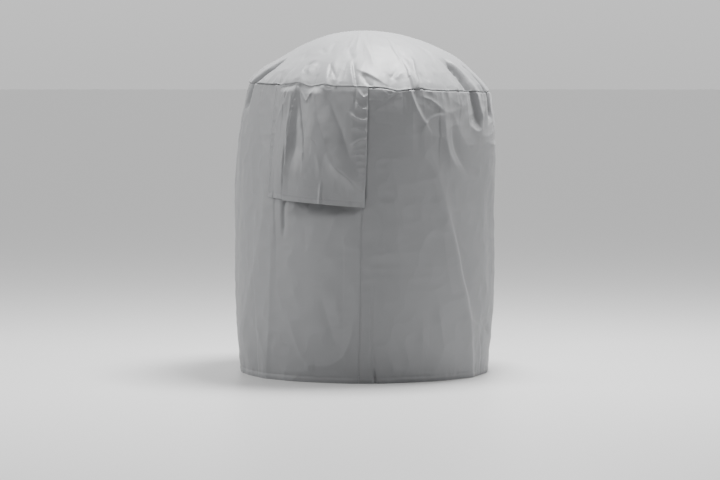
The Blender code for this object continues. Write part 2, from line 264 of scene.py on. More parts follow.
skirtCloth = {
    "columns": ((0, 66, 0.42), (66, 95, 0.8), (95, 180, 1.6)),  # degrees from the front seam, and the step
    "rows": ((0.0008, 0.03, 0.0026), (0.03, 0.55, 0.0052), (0.55, 0.71, 0.0034), (0.71, 1.0, 0.0016)),
    "stretchFrom": 0.45,  # above this height the rows bend to follow the crown seam
    "seamClear": 0.0008,  # between the last row and the crown seam
    "hem": 0.018,
    "hemStitch": 0.015,
    "hemGap": 0.0016,  # between the two layers of the turned-up edge
    "hemPull": (0.0014, 0.0017),  # depth and width of the dent along the stitching
    "hemBand": (0.0010, 0.007, 0.006),  # the swell under it: rise, distance below, width
    "hemRipple": (0.0009, 0.010),  # size of the puckers, and how far they reach
    "seams": {"deep": 0.0009, "wide": 0.0022, "pucker": 0.0006, "reach": 0.012},
    "crevice": (0.0017, 0.0009, 23, 0.0016),  # depth, its unevenness, seed, width
    "gatherFade": 0.022,
    "gathers": [(0.0010, 70, 0.06, 0, 21, ridged), (0.0007, 150, 0.03, 0, 22, ridged)],
    "crumple": [(0.0022, 18, 0.45, 0, 31, wander), (0.0010, 40, 0.16, 0, 32, wander),
                (0.0006, 40, 0.06, 4, 33, ridged), (0.0005, 50, 0.028, -9, 34, ridged)],
    "folds": [
        (7.5, 36, 17, 1.5, (0, 1), [(27, 0.63), (29.2, 0.567), (35.8, 0.477), (40.3, 0.381), (45.6, 0.276),
            (51.2, 0.184), (55.2, 0.053), (56.2, 0)]),
        (-4, 8, 18, 1.5, (0, 0), [(37, 0.47), (43, 0.37), (48, 0.28), (53, 0.2), (56, 0.15)]),
        (3.5, 8, 9, 1.3, (0.4, 0.6), [(53, 0.15), (62.6, 0.119)]),
        (-2.2, 3, 6, 1.3, (0.3, 1), [(62.6, 0.119), (66.5, 0.052), (66.9, 0)]),
        (-5, 9, 9, 1.6, (0.3, 0.3), [(64.5, 0.148), (74.6, 0.106)]),
        (-12, 30, 4, 1.5, (1, 0), [(55.8, 0.752), (57.9, 0.697), (59.4, 0.662), (60, 0.64)]),
        (5, 4, 22, 1.4, (1, 0), [(58, 0.752), (60.2, 0.697), (62, 0.65)]),
        (3.5, 9, 4, 1.3, (0, 0), [(49.3, 0.662), (57.5, 0.633), (63.8, 0.668)]),
        (-13, 26, 4, 1.5, (1, 0), [(75.3, 0.75), (75.7, 0.705), (78, 0.66)]),
        (7, 18, 4, 1.2, (1, 0.6), [(18.8, 0.748), (22, 0.692), (25.8, 0.66)]),
        (4.5, 13, 4, 1.3, (0.8, 0.2), [(25.8, 0.66), (30, 0.677), (36, 0.682)]),
        (3.2, 5, 6, 1.3, (0.2, 0.2), [(23.7, 0.73), (30.2, 0.713), (34.5, 0.69)]),
        (-1.8, 3, 3, 1.3, (0, 0), [(26.5, 0.702), (31.5, 0.693)]),
        (5.5, 18, 12, 1.4, (0.3, 0), [(35.6, 0.72), (35.6, 0.614), (39.5, 0.56), (48.3, 0.515)]),
        (-3.5, 6, 14, 1.5, (0, 0), [(40, 0.69), (40, 0.61), (44, 0.565), (52, 0.52)]),
        (-1.8, 10, 4, 1.3, (0.4, 0.4), [(-0.1, 0.684), (4.7, 0.699), (11.5, 0.727)]),
        (2.6, 3, 3, 1.3, (0.6, 0.6), [(6.4, 0.74), (9.6, 0.724), (12.8, 0.74)]),
        (-1.6, 12, 12, 1.7, (0.3, 0), [(22, 0.73), (22, 0.64), (23, 0.55)]),
        (1.5, 3, 4, 1.3, (0.5, 0), [(45.2, 0.735), (46.3, 0.705), (43.6, 0.649)]),
        (5, 26, 36, 1.4, (0.3, 0.6), [(-60, 0.72), (-50.3, 0.56), (-47, 0.462), (-52.5, 0.339),
            (-62, 0.205), (-75, 0.1)]),
        (4.5, 40, 14, 1.2, (0, 1), [(-41.8, 0.44), (-44.2, 0.356), (-45.7, 0.141), (-49.4, 0.031),
            (-50, 0)]),
        (-6, 6, 7, 1.5, (1, 0), [(-36.2, 0.475), (-37.2, 0.44), (-37.4, 0.365)]),
        (2.6, 12, 16, 1.4, (0, 0.8), [(-35.7, 0.176), (-29.3, 0.068), (-25.3, 0.041)]),
        (2.6, 9, 12, 1.4, (0.8, 0), [(-25.3, 0.041), (-14.8, 0.043), (-6.1, 0.087), (-3.6, 0.196)]),
        (-2.6, 15, 15, 1.6, (0, 0.3), [(-19.3, 0.25), (-16.9, 0.171), (-12, 0.085)]),
        (-1.2, 20, 8, 1.4, (0, 0), [(-28, 0.44), (-26, 0.36), (-27, 0.29)]),
        (0.9, 4, 3, 1.3, (0, 0), [(1.1, 0.282), (5.3, 0.276), (9.4, 0.267)]),
        (-0.7, 4, 4, 1.4, (0, 0), [(-18, 0.178), (-10, 0.172)]),
        (1.5, 40, 2, 1.3, (0.3, 0.6), [(-1.1, 0.44), (-1.5, 0.24), (-2.4, 0.03)]),
        (-2, 2, 3.5, 1.3, (0, 1), [(3.1, 0.27), (3.1, 0.16), (3.4, 0.073), (4, 0.022), (4.8, 0)]),
        (-4, 5, 3, 1.4, (0, 1), [(3.9, 0.035), (4.9, 0)]),
        (1.8, 12, 14, 1.4, (0, 0), [(25, 0.2), (25.9, 0.148), (26.4, 0.05)]),
        (1.8, 9, 8, 1.3, (0, 0), [(32.4, 0.21), (36.2, 0.109), (38, 0.07)]),
        (1.6, 22, 14, 1.7, (0, 0), [(12, 0.6), (13, 0.42), (17, 0.2)]),
        (-13, 4, 26, 1.5, (1, 0), [(-75, 0.762), (-77, 0.73), (-80, 0.69)]),
        (-2, 26, 18, 1.8, (0, 0), [(-72, 0.6), (-75, 0.4), (-80, 0.12)]),
        (3, 30, 30, 1.8, (0, 0), [(80, 0.6), (84, 0.35), (88, 0.05)]),
        (-2.5, 24, 24, 1.8, (0, 0), [(70, 0.55), (73, 0.3), (74, 0.18)]),
    ],
    # the cloth hangs back behind the hood's lower edge: depth, place and half width and height of the hollow
    "hollow": {"deep": 0.015, "angle": -19.5, "wide": 16.5, "height": 0.478, "tall": 0.042},
    "hooded": (-46.0, -1.0, 0.47, 0.745),  # what the hood covers: angles and heights
    "hoodedCalm": (0.75, 0.001),  # how much of the folds is lost there, and how far the cloth sinks
}

# the gathers that go on round the back: angle, strength, how far they lean as they run down
backGathers = [(92, 0.9, 3), (103, 0.6, -2), (114, 1.2, 5), (127, 0.7, -4), (138, 1.0, 2), (149, 0.6, 4),
               (160, 1.1, -5), (172, 0.8, 2), (186, 1.0, 4), (197, 0.6, -3), (208, 1.2, -5), (221, 0.7, 3),
               (233, 1.0, 4), (244, 0.6, -2), (254, 1.1, -4), (266, 0.8, 2), (276, 0.6, 3)]
for place, force, slant in backGathers:
    seamAt = cover["seam"] - cover["seamTilt"] * math.sin(math.radians(place))
    length = 0.09 + 0.10 * force
    skirtCloth["folds"] += [
        (-6.5 * force, 8, 8, 1.7, (1, 0), [(place, seamAt), (place + slant * 0.4, seamAt - length * 0.6),
                                           (place + slant, seamAt - length * 1.3)]),
        (3.2 * force, 10, 16, 1.6, (0.5, 0), [(place + 4, seamAt - 0.006),
                                              (place + 4 + slant, seamAt - length),
                                              (place + 5 + 2 * slant, seamAt - length * 2.2)]),
    ]
# and the long waves below them: angle, rise, slant
backWaves = [(100, 3.4, 8), (124, -2.6, -6), (146, 3.0, 7), (166, -2.6, -5), (193, 3.2, -7), (215, -2.8, 6),
             (236, 3.2, -8), (260, -2.6, 7)]
for place, rise, slant in backWaves:
    skirtCloth["folds"].append(
        (rise, 26, 26, 1.9, (0, 0.9), [(place, 0.6), (place + slant * 0.4, 0.34), (place + slant, 0.0)]))


def frontSeamAt(height):
    return between(height, cover["frontSeamLine"])


def underHood(angle, height):
    low, high, bottom, top = skirtCloth["hooded"]
    across = smooth((angle - low) / 5) * smooth((high - angle) / 4)
    return across * smooth((height - bottom) / 0.03) * smooth((top + 0.01 - height) / 0.01)


def skirtFolds(angle, height):
    near = angleGap(angle, 0)
    # the fold lines waver by up to half a degree and 4 mm
    blownAngle = near + 0.5 * wander(near / 360 * 24 + 3, height / 0.12, 11, 24)
    blownHeight = height + 0.004 * wander(near / 360 * 36, height / 0.06, 12, 36)
    scale = np.full(angle.shape, degreeLength)
    depth = foldField(blownAngle, blownHeight, scale, skirtCloth["folds"])
    # little gathers just under the crown seam, and slack and crumple all over
    below = seamHeight(near) - height
    pinch = np.exp(-np.clip(below, 0, None) / skirtCloth["gatherFade"])
    depth = addNoise(depth, near, below, skirtCloth["gathers"], pinch)
    depth = addNoise(depth, near, height, skirtCloth["crumple"])
    calm, sink = skirtCloth["hoodedCalm"]
    depth *= 1 - calm * underHood(near, height)
    depth -= sink * underHood(near, height)
    hollow = skirtCloth["hollow"]
    beside = np.exp(-(((near - hollow["angle"]) / hollow["wide"]) ** 4))
    depth -= hollow["deep"] * beside * np.exp(-(((height - hollow["height"]) / hollow["tall"]) ** 2))
    # the front and back seams pull in, with puckers across them
    seams = skirtCloth["seams"]
    for seam, seed in ((frontSeamAt(height), 34), (cover["backSeam"], 35)):
        off = np.abs(angleGap(angle, seam)) * degreeLength
        depth -= seams["deep"] * np.exp(-((off / seams["wide"]) ** 2))
        close = np.exp(-off / seams["reach"])
        depth += seams["pucker"] * close * wander(off / 0.04 + 7, height / 0.011, seed)
    # the hem's stitching pulls in, with puckers above and below it
    stitched = height - skirtCloth["hemStitch"]
    deep, wide = skirtCloth["hemPull"]
    depth -= deep * np.exp(-((stitched / wide) ** 2))
    swell, lower, wide = skirtCloth["hemBand"]
    depth += swell * np.exp(-(((stitched + lower) / wide) ** 2))
    ripple = wander(near / 360 * 150, height / 0.05, 41, 150)
    ripple = ripple + 0.6 * wander(near / 360 * 260, height / 0.03, 42, 260)
    size, reach = skirtCloth["hemRipple"]
    depth += size * np.exp(-np.abs(stitched) / reach) * ripple
    return depth - crevice(near, below, skirtCloth["crevice"])


def onSkirt(angle, height, out=0.0):
    angle, height = np.broadcast_arrays(np.asarray(angle, float), np.asarray(height, float))
    return toPoint(angle, bodyRadius(height) + skirtFolds(angle, height) + out, height)


def flatOf(angle, height):
    return np.stack([np.radians(angle) * cover["waistRadius"], height], -1)


vent = {
    "lap": 0.010,  # how far the net reaches past the window's edge
    "hole": 0.0032,
    "strand": 0.0007,
    "inset": 0.0016,
    "bindingInset": 0.0024,
    "bindingThick": 0.0005,
}


def spanOf(node):  # the angles and heights that a node of the frame covers
    turns = [math.degrees(math.atan2(v.co.x, -v.co.y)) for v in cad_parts[node].data.vertices]
    low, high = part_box(node)
    if low.y > 0:  # at the back, where angles pass 180
        turns = [turn % 360 for turn in turns]
    return min(turns), max(turns), low.z, high.z


def inWindow(angle, height):
    left, right, low, high = spanOf("vent_mesh")
    turn = math.degrees(vent["lap"] / cover["waistRadius"])
    across = (angle > left + turn) & (angle < right - turn)
    return across & (height > low + vent["lap"]) & (height < high - vent["lap"])


def middles(grid):  # the middle of each quad
    return (grid[:-1, :-1] + grid[1:, 1:]) / 2


def makeSkirtPanel(name, side):
    shares = np.array(rowsOf(*skirtCloth["columns"])) / 180
    if side == "left":
        shares = 1 - shares[::-1]
    hemRows = [h for h in rowsOf(*skirtCloth["rows"]) if h < cover["seam"]]
    half = skirtCloth["hemGap"] / 2
    # the turned-up layer inside, the fold at the edge, and the outside
    facing = [(h, skirtCloth["hemGap"]) for h in rowsOf((skirtCloth["hem"], half * 1.2, 0.0035))]
    turn = [(half - half * math.sin(t), half + half * math.cos(t)) for t in foldTurns]
    gap, back = cover["panelGap"], cover["backSeam"]
    angles, heights, insets = [], [], []
    for height, inset in facing + turn + [(h, 0.0) for h in hemRows]:
        seam = frontSeamAt(max(height, 0))
        start, end = (seam + gap, back) if side == "right" else (back - 360 + gap, seam - gap)
        row = start + (end - start) * shares
        # outside rows stretch so that the last one meets the seam's own line
        reach = seamHeight(row) - skirtCloth["seamClear"]
        share = smooth((height - skirtCloth["stretchFrom"]) / (cover["seam"] - skirtCloth["stretchFrom"]))
        heights.append(height + (reach - max(hemRows)) * share)
        angles.append(row)
        insets.append(np.full(row.shape, inset))
    base, last = angles[-1], heights[-1]
    angles, heights, insets = np.array(angles), np.array(heights), np.array(insets)
    radius = bodyRadius(heights) + skirtFolds(angles, np.maximum(heights, half)) - insets
    tucked = [toPoint(base, radius[-1] - inward, last - drop) for inward, drop in cover["allowance"]]
    points = np.concatenate([toPoint(angles, radius, heights), np.array(tucked)])
    flatHeight = np.concatenate([heights, [last + inward for inward, _ in cover["allowance"]]])
    flat = flatOf(np.concatenate([angles, [base] * len(tucked)]), flatHeight)
    window = None
    if side == "left":
        window = inWindow(np.degrees(middles(flat[..., 0]) / cover["waistRadius"]), middles(points[..., 2]))
        window[: len(facing) + len(turn)] = False
    return clothMesh(name, points, flat, cover["thick"], window=window)


crownCloth = {
    "columns": ((-88, 88, 0.46), (88, 272, 1.25)),
    "rows": ((0, 0.006, 0.0010), (0.006, 0.02, 0.0017), (0.02, 0.12, 0.0026),
             (0.12, crownReach * 0.97, 0.0065)),
    "crevice": (0.0024, 0.0012, 24, 0.0020),
    "gatherFade": 0.03,
    "gathers": [(0.0014, 60, 0.07, 0, 61, ridged), (0.0008, 130, 0.04, 0, 62, ridged)],
    "calmRadius": 0.12,  # inside this the crumple dies out
    "crumple": [(0.0016, 14, 0.10, 0, 71, wander), (0.0007, 26, 0.11, 0, 72, ridged),
                (0.0003, 60, 0.04, 0, 73, ridged)],
    "level": 0.16,  # how far up the crown the seam's ups and downs are felt
    "edge": 0.0008,  # above the crown seam's own height
    "folds": [
        (-15, 4, 26, 1.5, (0, 1), [(-66, 0.12), (-70, 0.06), (-75, 0)]),
        (-2.4, 3, 6, 1.4, (0, 1), [(-51.4, 0.058), (-48.1, 0)]),
        (-4, 3, 9, 1.1, (0, 0), [(-33.1, 0.1), (-37.9, 0.067), (-34.2, 0.028)]),
        (3, 5, 14, 1.2, (0, 0), [(-30.5, 0.09), (-34.5, 0.062), (-31.5, 0.03)]),
        (-3.4, 3, 6, 1.3, (0.4, 0.6), [(-22.2, 0.08), (-20.8, 0.028)]),
        (-2.4, 5, 3, 1.3, (0.4, 0.4), [(-22.2, 0.08), (-16.8, 0.028)]),
        (3.4, 9, 2.5, 1.2, (0, 1), [(-11.2, 0.105), (-9, 0.055), (-7.2, 0)]),
        (-3.4, 2.5, 6, 1.3, (0, 1), [(-10.1, 0.1), (-7.9, 0.055), (-6.1, 0)]),
        (-4.5, 6, 7, 1.3, (0, 0.8), [(-4, 0.05), (-2.4, 0.026), (0.5, 0.008)]),
        (4, 3, 15, 1.1, (0.5, 0.3), [(-5.1, 0.057), (0.5, 0.04), (6.8, 0.016)]),
        (-2.6, 4, 5, 1.2, (0.2, 0.2), [(7.3, 0.06), (10.2, 0.042), (10.5, 0.04), (10.8, 0.042),
            (14.5, 0.068)]),
        (2.2, 8, 4, 1.3, (0, 0), [(12, 0.035), (17, 0.06)]),
        (-3, 9, 9, 1.4, (0, 0.6), [(24.2, 0.24), (18.9, 0.151), (22.2, 0.099), (22, 0.063)]),
        (8.5, 17, 3.5, 1.2, (0, 1), [(28.3, 0.135), (23.9, 0.063), (22.7, 0)]),
        (-2.2, 4, 7, 1.4, (0, 0), [(26.3, 0.063), (31, 0.026)]),
        (-1.8, 6, 6, 1.4, (0, 0.5), [(36.5, 0.07), (40.5, 0)]),
        (-15, 30, 4, 1.5, (0, 1), [(54.5, 0.12), (55.6, 0.051), (55.8, 0)]),
        (6, 4, 20, 1.4, (0, 1), [(57, 0.12), (57.9, 0.051), (58, 0)]),
        (5, 10, 8, 1.4, (0, 1), [(70.5, 0.105), (67.4, 0.055), (66.7, 0)]),
        (-15, 26, 4, 1.5, (0, 1), [(72, 0.1), (74, 0.045), (75.3, 0)]),
        (-2.2, 8, 8, 1.4, (0, 0), [(-52.4, 0.163), (-43.8, 0.095)]),
        (-2.2, 6, 6, 1.4, (0, 0), [(-41.1, 0.173), (-29.6, 0.131)]),
        (-1.8, 10, 10, 1.5, (0, 0), [(-33.7, 0.224), (-24.7, 0.112)]),
        (-1.8, 8, 8, 1.5, (0, 0), [(-16.1, 0.184), (-9.8, 0.095)]),
        (2, 9, 6, 1.4, (0, 0), [(-2, 0.2), (1, 0.12), (3, 0.07)]),
        (-1.6, 9, 9, 1.5, (0, 0), [(48, 0.19), (44, 0.1)]),
        (-2.4, 8, 8, 1.5, (0, 0.8), [(-63, 0.09), (-61, 0)]),
        (2, 8, 5, 1.4, (0, 0.8), [(-44, 0.07), (-42.5, 0)]),
        (-1.8, 5, 7, 1.4, (0, 0.8), [(-27.5, 0.05), (-27, 0)]),
        (1.8, 6, 5, 1.4, (0, 0.8), [(47, 0.06), (46, 0)]),
    ],
}
for place, force, slant in backGathers:
    crownCloth["folds"] += [
        (-7.5 * force, 8, 8, 1.7, (0, 1), [(place + slant * 1.6, 0.06 + 0.06 * force), (place, 0.0)]),
        (3.0 * force, 9, 12, 1.6, (0, 0.8), [(place + 6 + slant, 0.05 + 0.05 * force), (place + 4, 0.0)]),
    ]


def crownFolds(angle, up):
    near = angleGap(angle, 0)
    radius = crownRow(np.clip(up, 0, crownReach))[0]
    scale = math.radians(1) * np.maximum(radius, 0.03)
    # the fold lines waver by up to half a degree and 3 mm
    blownAngle = near + 0.5 * wander(near / 360 * 30, up / 0.05, 51, 30)
    blownUp = up + 0.003 * wander(near / 360 * 50, up / 0.03, 52, 50)
    depth = foldField(blownAngle, blownUp, scale, crownCloth["folds"])
    depth = addNoise(depth, near, up, crownCloth["gathers"], np.exp(-up / crownCloth["gatherFade"]))
    depth = addNoise(depth, near, up, crownCloth["crumple"], smooth(radius / crownCloth["calmRadius"]))
    return depth - crevice(near, up, crownCloth["crevice"])


def onCrown(angle, up, out=0.0):
    angle, up = np.broadcast_arrays(np.asarray(angle, float), np.asarray(up, float))
    radius, lift, _ = crownRow(up)
    step = 0.001
    ahead = crownRow(np.clip(up + step, 0, crownReach))
    behind = crownRow(np.clip(up - step, 0, crownReach))
    slope = np.arctan2(ahead[1] - behind[1], -(ahead[0] - behind[0]))
    depth = crownFolds(angle, up) + out
    share = 1 - smooth(up / crownCloth["level"])
    base = seamHeight(angle) + crownCloth["edge"]
    height = cover["seam"] + lift + (base - cover["seam"]) * share
    return toPoint(angle, radius + depth * np.sin(slope), height + depth * np.cos(slope) * smooth(up / 0.01))


def makeCrown():
    angles = np.array(rowsOf(*crownCloth["columns"])[:-1])
    ups = rowsOf(*crownCloth["rows"])
    grid, rise = np.meshgrid(angles, np.array(ups))
    points = onCrown(grid, rise)
    turn = np.radians(angles)
    inwards = np.stack([-np.sin(turn), np.cos(turn), 0 * turn], -1)
    allowance = cover["allowance"][::-1]
    tucked = [points[0] + inwards * inward - np.array([0, 0, drop]) for inward, drop in allowance]
    points = np.concatenate([np.array(tucked), points])
    reach = crownReach - np.concatenate([[-inward for inward, _ in allowance], ups])
    flat = np.stack([reach[:, None] * np.sin(turn), -reach[:, None] * np.cos(turn)], -1)
    tip = np.array([[leanAt(cover["height"]), 0, cover["height"] - 0.0005]])
    return clothMesh("crownPanel", points, flat, cover["thick"], ring=True, pole=tip)


hoodCloth = {
    "width": 0.262,
    "left": (-48.2, -45.8),  # angle of the left edge, at its top and bottom
    "right": (-0.5, 0.2),
    "drop": (0.287, 0.301),  # length of the left and right edges
    "clear": 0.0022,  # between the hood and the skirt
    "least": 0.0006,  # the same at the sewn edges
    "slack": 0.0085,  # how far the cloth stands off from just below its top
    "pouch": 0.019,  # and how much further at its lower edge
    # shares of the width: where the pouch begins, its steep side, its loss to the right, and over what
    "wall": (0.216, 0.04, 0.55, 0.7),
    "freeFrom": (0.07, 0.15),  # shares in which the pouch comes in from the left and right edges
    "looseFrom": (0.05, 0.02),  # the same for the folds
    "crumple": [(0.0008, 4.0, 0.05, 83), (0.0004, 1.6, 0.016, 84)],  # size, degrees, height, seed
    "hem": 0.014,
    "hemStitch": 0.012,
    "hemPull": (0.0005, 0.0018),  # depth and width of the dent along the stitching
    "topstitch": (0.003, 0.009),  # the two rows, from the left edge
    "topstitchPull": (0.0003, 0.0012),
    "seamStitch": 0.004,  # from the right edge
    "columns": 190,
    "rows": ((0.0013, 0.03), (0.0026, 0.94), (0.0017, 1)),  # step, and the share of the drop where it ends
    "folds": [
        (14, 42, 15, 1.5, (1, 0.35), [(-37.2, 0.757), (-36, 0.701), (-36.3, 0.65), (-36.8, 0.608),
            (-37.3, 0.567), (-37.3, 0.52), (-37.1, 0.44)]),
        (-12, 24, 28, 1.4, (0.6, 0), [(-35.4, 0.757), (-32.6, 0.686), (-31.2, 0.609), (-31.8, 0.567),
            (-33.4, 0.522)]),
        (-3.4, 3, 13, 1.2, (0.6, 0), [(-33.4, 0.745), (-32.2, 0.722), (-28.8, 0.656), (-26.8, 0.609),
            (-25.7, 0.555)]),
        (3.6, 5, 12, 1.3, (0.6, 0.3), [(-37.9, 0.753), (-39.6, 0.71), (-42.9, 0.672)]),
        (1.8, 3, 4, 1.3, (0.6, 0), [(-39.6, 0.75), (-42.9, 0.719)]),
        (4.6, 4, 4, 1.2, (1, 1), [(-34.9, 0.756), (-28.9, 0.7205), (-28.3, 0.717), (-27.8, 0.7205),
            (-24.8, 0.758)]),
        (-1.5, 8, 8, 1.6, (1, 0), [(-29.5, 0.756), (-29, 0.735)]),
        (2.8, 3, 3, 1.3, (1, 1), [(-22.4, 0.757), (-19.5, 0.743), (-17, 0.75)]),
        (10, 60, 19, 1.3, (1, 0.3), [(-25.4, 0.757), (-22.2, 0.686), (-17.6, 0.61), (-12, 0.56),
            (-4.5, 0.52)]),
        (-6, 14, 12, 1.4, (0.3, 0.2), [(-20.5, 0.74), (-16.5, 0.7), (-12, 0.65), (-9.4, 0.611),
            (-5.5, 0.555)]),
        (7.5, 13, 6, 1.2, (0, 0.8), [(-16, 0.575), (-13, 0.552), (-7.5, 0.52), (-1, 0.487)]),
        (2.6, 13, 13, 1.6, (0, 0), [(-17.5, 0.585), (-9.6, 0.54)]),
        (-1.1, 2.5, 2.5, 1.3, (0, 0), [(-23.8, 0.629), (-20.4, 0.607)]),
        (1.8, 6, 9, 1.4, (0, 0), [(-21.2, 0.595), (-18.6, 0.523)]),
        (3.2, 3, 4, 1.2, (0, 1), [(-17.9, 0.522), (-18.3, 0.44)]),
        (-2.6, 3, 3, 1.4, (0.8, 0), [(-6.3, 0.752), (-5.7, 0.695)]),
        (4.4, 5, 3, 1.2, (0.8, 1), [(-5.2, 0.75), (-3.4, 0.726), (-0.6, 0.731)]),
        (4.2, 6, 2.5, 1.2, (0.3, 1), [(-6.4, 0.72), (-3.4, 0.699), (-0.5, 0.697)]),
        (5, 7, 3, 1.2, (0.2, 1), [(-8.6, 0.69), (-4.4, 0.672), (-0.3, 0.669)]),
        (3.8, 6, 2.5, 1.2, (0.1, 1), [(-7.4, 0.642), (-3.2, 0.648), (-0.4, 0.64)]),
        (4.8, 7, 2.5, 1.2, (0.1, 1), [(-7.8, 0.604), (-3.4, 0.618), (-0.4, 0.622)]),
        (3.2, 5, 2.5, 1.2, (0, 0.6), [(-8.2, 0.59), (-3.4, 0.598), (-0.8, 0.6)]),
        (4, 6, 2.5, 1.2, (0, 1), [(-6.6, 0.576), (-2.8, 0.583), (-0.4, 0.582)]),
        (2.8, 5, 2.5, 1.2, (0, 1), [(-5.6, 0.562), (-2.7, 0.566), (-0.4, 0.563)]),
        (3, 5, 2.5, 1.2, (0, 1), [(-5, 0.546), (-0.3, 0.549)]),
        (1.8, 4, 2.5, 1.2, (0, 1), [(-4.2, 0.533), (-0.3, 0.531)]),
        (1.6, 4, 2.5, 1.2, (0, 1), [(-3.8, 0.517), (-0.3, 0.515)]),
    ],
}
for step in range(7):  # and smaller ones down the topstitched left edge
    high = 0.70 - 0.034 * step
    hoodCloth["folds"].append((0.8, 3, 3, 1.4, (0.5, 0), [(-47.0, high), (-43.5, high + 0.009)]))


def hoodPlace(across, down):  # angle and height of a place on the hood
    left = hoodCloth["left"][0] + (hoodCloth["left"][1] - hoodCloth["left"][0]) * down
    right = hoodCloth["right"][0] + (hoodCloth["right"][1] - hoodCloth["right"][0]) * down
    angle = left + (right - left) * across
    drop = hoodCloth["drop"][0] + (hoodCloth["drop"][1] - hoodCloth["drop"][0]) * across
    level = cover["seam"] - cover["seamTilt"] * np.sin(np.radians(angle))
    return angle, level + (seamHeight(angle) - level) * smooth(1 - down * 6) - drop * down


def fromEdges(across, left, right):  # 0 at both edges and 1 between them
    return smooth(across / left) * smooth((1 - across) / right)


def onHood(across, down, out=0.0):
    across, down = np.broadcast_arrays(np.asarray(across, float), np.asarray(down, float))
    angle, height = hoodPlace(across, down)
    cloth = skirtFolds(angle, height)
    free = fromEdges(across, *hoodCloth["freeFrom"])
    loose = fromEdges(across, *hoodCloth["looseFrom"])
    low = np.clip(down, 0, 1)
    below = low * hoodCloth["drop"][0]
    # it stands off the skirt from a steep wall on its left, and comes back to it slowly on its right
    wall, steep, back, slow = hoodCloth["wall"]
    bulge = smooth((across - wall) / steep) * (1 - back * smooth((across - wall - steep) / slow))
    pouch = bulge * (hoodCloth["slack"] * smooth(below / 0.13) + hoodCloth["pouch"] * low ** 1.2)
    # the fold lines waver by up to a quarter of a degree and 2 mm
    blownAngle = angle + 0.25 * wander(angle / 3.0 + 90, height / 0.03, 81)
    blownHeight = height + 0.002 * wander(angle / 4.0 + 90, height / 0.03, 82)
    scale = np.full(angle.shape, degreeLength)
    folds = foldField(blownAngle, blownHeight, scale, hoodCloth["folds"]) * smooth(below / 0.02)
    for size, wide, tall, seed in hoodCloth["crumple"]:
        folds += size * wander(angle / wide + 90, height / tall, seed) * free
    least = hoodCloth["least"]
    shy = least + (hoodCloth["clear"] - least) * fromEdges(across, 0.012, 0.012)
    shy = shy * smooth(below / 0.016 + 0.2)
    lift = np.maximum(cloth, -0.0012 * free) + shy + np.maximum(pouch * free + folds * loose, 0)
    lift = lift + (1 - loose) * np.clip(folds, -0.0004, 0.0015)
    stitched = (1 - down) * hoodCloth["drop"][0] - hoodCloth["hemStitch"]
    deep, wide = hoodCloth["hemPull"]
    lift = lift - deep * np.exp(-((stitched / wide) ** 2))
    deep, wide = hoodCloth["topstitchPull"]
    for row in hoodCloth["topstitch"]:
        lift = lift - deep * np.exp(-(((across * hoodCloth["width"] - row) / wide) ** 2))
    return toPoint(angle, bodyRadius(height) + lift + out, height)


def makeHood():
    drop, gap = hoodCloth["drop"][0], skirtCloth["hemGap"]
    half = gap / 2
    across = np.linspace(0, 1, hoodCloth["columns"])
    spans, start = [], -0.001 / drop
    for step, end in hoodCloth["rows"]:
        stop = end if end < 1 else 1 - 0.0006 / drop  # the last row is just short of the fold
        spans.append((start, stop, step / drop))
        start = end
    table = [(down, 0.0, 0.0) for down in rowsOf(*spans)]
    table += [(1.0, half - half * math.cos(t), -half * math.sin(t) * 0.8) for t in foldTurns]
    table += [(1 - up / drop, gap, 0.0) for up in rowsOf((0.001, hoodCloth["hem"], 0.003))]
    down, inset, lower = [np.array(column)[:, None] for column in zip(*table)]
    points = onHood(across[None, :], down, -inset)
    points[..., 2] += lower
    angle, height = hoodPlace(across[None, :], down)
    flat = flatOf(angle, height - inset * 8)
    return clothMesh("ventHoodPanel", points[::-1], flat[::-1], cover["thick"])


tapes = {
    "width": 0.020,
    "thick": 0.0005,
    "inset": 0.0012,
    "stitchInset": 0.0019,  # of the seams' stitching, inside the tape
    "bottom": 0.019,
    "top": 0.730,
}


def makeSeamTape(name, side):
    heights = np.array(rowsOf((tapes["bottom"], tapes["top"], 0.006)))
    half = math.degrees(tapes["width"] / 2 / cover["waistRadius"])
    spread = np.linspace(-half, half, 9)
    seam = frontSeamAt(heights) if side == "front" else np.full(heights.shape, cover["backSeam"])
    grid = seam[:, None] + spread[None, :]
    high = np.repeat(heights[:, None], len(spread), 1)
    points = onSkirt(grid, high, -tapes["inset"])
    return clothMesh(name, points, flatOf(grid, high), tapes["thick"], inside=False)


binding = {
    "thick": 0.0004,
    "step": 1.2,  # degrees
    "profile": [(0.0030, 0.0016), (0.0045, 0.0008), (0.0060, -0.0002), (0.0070, -0.0020),
                (0.0066, -0.0042), (0.0050, -0.0042), (0.0035, -0.0032), (0.0022, -0.0024)],  # in, and up
    "stitch": (0.0045, -0.0044),  # where its stitching runs, in and up
}


def seamEdge(angle):  # height of the crown seam, and the skirt's radius just under it
    top = seamHeight(angle)
    return top, bodyRadius(top) + skirtFolds(angle, top - skirtCloth["seamClear"])


def makeCrownBinding():
    # a tape folded round the raw edges that hang inside the crown seam
    angles = np.arange(0, 360, binding["step"])
    top, radius = seamEdge(angles)
    profile = binding["profile"]
    points = np.array([toPoint(angles, radius - inward, top + rise) for inward, rise in profile])
    run = np.cumsum([0, *[math.dist(a, b) for a, b in zip(profile, profile[1:])]])
    flat = np.array([flatOf(angles, np.full(angles.shape, r)) for r in run])
    return clothMesh("crownSeamBinding", points[::-1], flat[::-1], binding["thick"], ring=True, inside=False)


